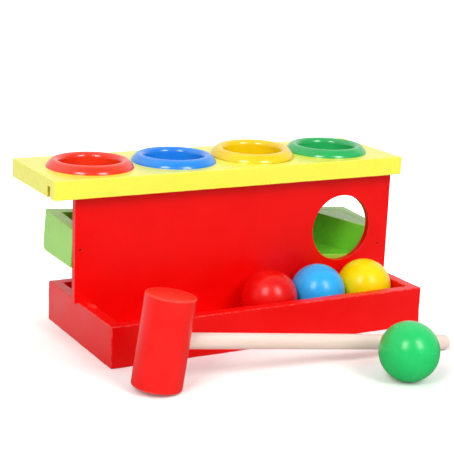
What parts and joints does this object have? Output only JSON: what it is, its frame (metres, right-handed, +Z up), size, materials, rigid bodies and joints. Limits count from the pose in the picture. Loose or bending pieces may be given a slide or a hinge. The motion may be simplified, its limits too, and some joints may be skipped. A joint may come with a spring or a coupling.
{
  "type": "ball pounding toy",
  "caption": "Wooden pounding bench: springy rings in a thick top let balls be hammered through onto a sloping trough, out of a round hole and into a tray, with loose balls and a mallet.",
  "frame": {"origin": "centre of the tray's underside, on the table", "axes": "+X along the bench towards the exit hole, +Y from the front of the tray to its back, +Z up"},
  "size_m": [0.313, 0.2696, 0.14],
  "materials": {
    "red_paint": "satin red paint on wood",
    "yellow_paint": "satin lemon yellow paint on wood",
    "green_paint": "satin light green paint on wood",
    "red_plastic": "glossy moulded plastic",
    "blue_plastic": "glossy moulded plastic",
    "yellow_plastic": "glossy moulded plastic",
    "green_plastic": "glossy moulded plastic",
    "red_lacquer": "gloss red lacquer on turned wood",
    "blue_lacquer": "gloss blue lacquer on turned wood",
    "yellow_lacquer": "gloss yellow lacquer on turned wood",
    "green_lacquer": "gloss green lacquer on turned wood",
    "bare_wood": "plain sanded pale wood",
    "steel": "plain steel wire"
  },
  "bodies": {
    "bench": {"tray_floor": "red_paint", "tray_front_wall": "red_paint", "tray_back_wall": "red_paint", "tray_left_wall": "red_paint", "tray_right_wall": "red_paint", "front_panel": "red_paint", "rear_board": "red_paint", "trough_floor": "green_paint", "trough_back_wall": "green_paint", "trough_left_end": "green_paint", "trough_right_end": "green_paint", "deflector_block": "green_paint", "top_board": "yellow_paint", "ring_red": "red_plastic", "ring_blue": "blue_plastic", "ring_yellow": "yellow_plastic", "ring_green": "green_plastic", "tray_corner_brads": "steel", "tray_floor_brads": "steel", "trough_corner_brads": "steel", "trough_floor_brads": "steel", "deflector_brads": "steel", "trough_nails": "steel", "rear_board_nails": "steel"},
    "red_ball": {"ball_red": "red_lacquer"},
    "blue_ball": {"ball_blue": "blue_lacquer"},
    "yellow_ball": {"ball_yellow": "yellow_lacquer"},
    "green_ball": {"ball_green": "green_lacquer"},
    "mallet": {"mallet_head": "red_lacquer", "mallet_handle": "bare_wood"}
  },
  "joints": [
    {"name": "red_ball_lift", "type": "slide", "parent": "bench", "child": "red_ball", "axis": [0, -0.2, 0.9798], "range_m": [0, 0.16]},
    {"name": "blue_ball_lift", "type": "slide", "parent": "bench", "child": "blue_ball", "axis": [0, -0.2, 0.9798], "range_m": [0, 0.16]},
    {"name": "yellow_ball_lift", "type": "slide", "parent": "bench", "child": "yellow_ball", "axis": [0, -0.2, 0.9798], "range_m": [0, 0.16]},
    {"name": "green_ball_lift", "type": "slide", "parent": "bench", "child": "green_ball", "axis": [0, 0, 1], "range_m": [0, 0.16]},
    {"name": "mallet_swing", "type": "hinge", "parent": "bench", "child": "mallet", "pos_m": [0.12071, -0.12061, 0.0028], "axis": [0.0332, 0.9994, 0], "range_deg": [0, 60]}
  ]
}
